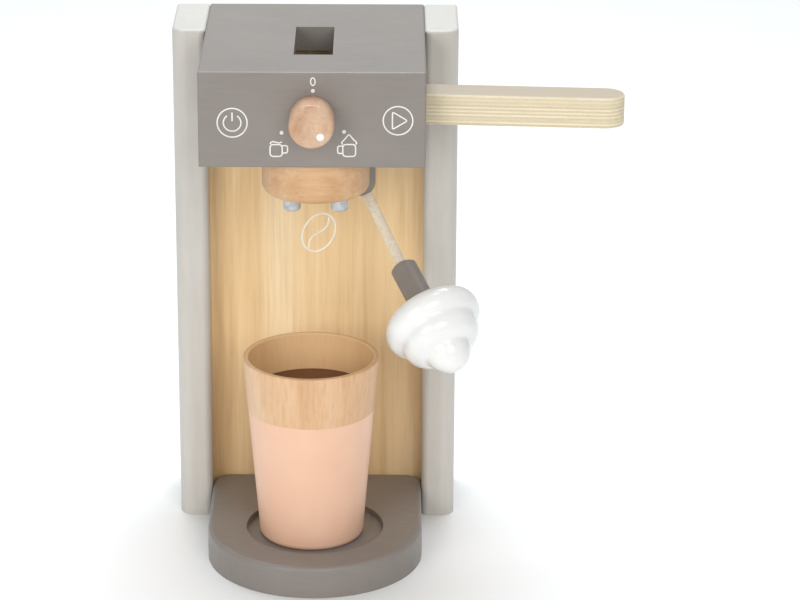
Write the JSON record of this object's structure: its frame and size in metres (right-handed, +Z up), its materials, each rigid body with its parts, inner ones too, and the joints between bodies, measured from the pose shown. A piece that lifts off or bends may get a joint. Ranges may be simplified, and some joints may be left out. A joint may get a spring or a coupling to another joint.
{
  "type": "toy coffee maker",
  "caption": "Wooden toy coffee maker: boxed brew head between two side boards, dial knob, swing lever with spouts, frother on a cord, base plate with a cup.",
  "frame": {"origin": "on the resting face, on the centre line, straight below the front face of the brew head", "axes": "+X to the lever's side, +Y from the front to the back, +Z up"},
  "size_m": [0.2174, 0.1502, 0.257],
  "materials": {
    "panel_paint": "satin light warm grey paint on wood",
    "head_paint": "satin taupe paint on wood",
    "nozzle_paint": "satin grey paint on wood",
    "board_wood": "pale poplar sheet, clear lacquer",
    "beech": "turned beech, clear lacquer",
    "plywood": "birch plywood, clear lacquer",
    "cup_paint": "turned beech, lower part dipped in pink paint",
    "coffee_paint": "brown stained wood",
    "white_lacquer": "white gloss lacquer on wood",
    "spout_silver": "silver paint on wood",
    "cord_cotton": "braided cream cotton",
    "screw_steel": "zinc plated"
  },
  "bodies": {
    "frame": {"left_side_panel": "panel_paint", "right_side_panel": "panel_paint", "back_board": "board_wood", "base_plate": "head_paint", "head_top_board": "head_paint", "head_front_board": "head_paint", "head_left_board": "head_paint", "head_right_board": "head_paint", "head_floor_board": "head_paint", "head_dowels": "beech", "front_dowels": "beech", "top_dowels": "beech", "plate_screws": "screw_steel", "cord_holder": "nozzle_paint", "frother_cord": "cord_cotton", "nozzle": "nozzle_paint", "nozzle_magnet": "screw_steel"},
    "dial": {"knob": "beech", "knob_pointer": "white_lacquer", "knob_axle": "beech", "knob_washer": "beech"},
    "brew_lever": {"lever": "plywood", "group_spindle": "beech", "lever_spacer": "beech", "group_disc": "beech", "spout_left": "spout_silver", "spout_right": "spout_silver"},
    "foam": {"foam_swirl": "white_lacquer", "foam_magnet": "screw_steel"},
    "cup": {"cup": "cup_paint"},
    "coffee": {"coffee_disc": "coffee_paint"}
  },
  "joints": [
    {"name": "knob_turn", "type": "hinge", "parent": "frame", "child": "dial", "pos_m": [0, 0, 0.2352], "axis": [0, 1, 0], "continuous": true},
    {"name": "lever_swing", "type": "hinge", "parent": "frame", "child": "brew_lever", "pos_m": [0.001, 0.03, 0.2], "axis": [0, 0, 1], "range_deg": [0, 25]},
    {"name": "foam_pull", "type": "slide", "parent": "frame", "child": "foam", "axis": [0.4076, -0.7338, -0.5435], "range_m": [0, 0.03]},
    {"name": "cup_take_out", "type": "slide", "parent": "frame", "child": "cup", "axis": [0, -0.7071, 0.7071], "range_m": [0, 0.12]},
    {"name": "coffee_lift", "type": "slide", "parent": "cup", "child": "coffee", "axis": [0, 0, 1], "range_m": [0, 0.02]}
  ]
}
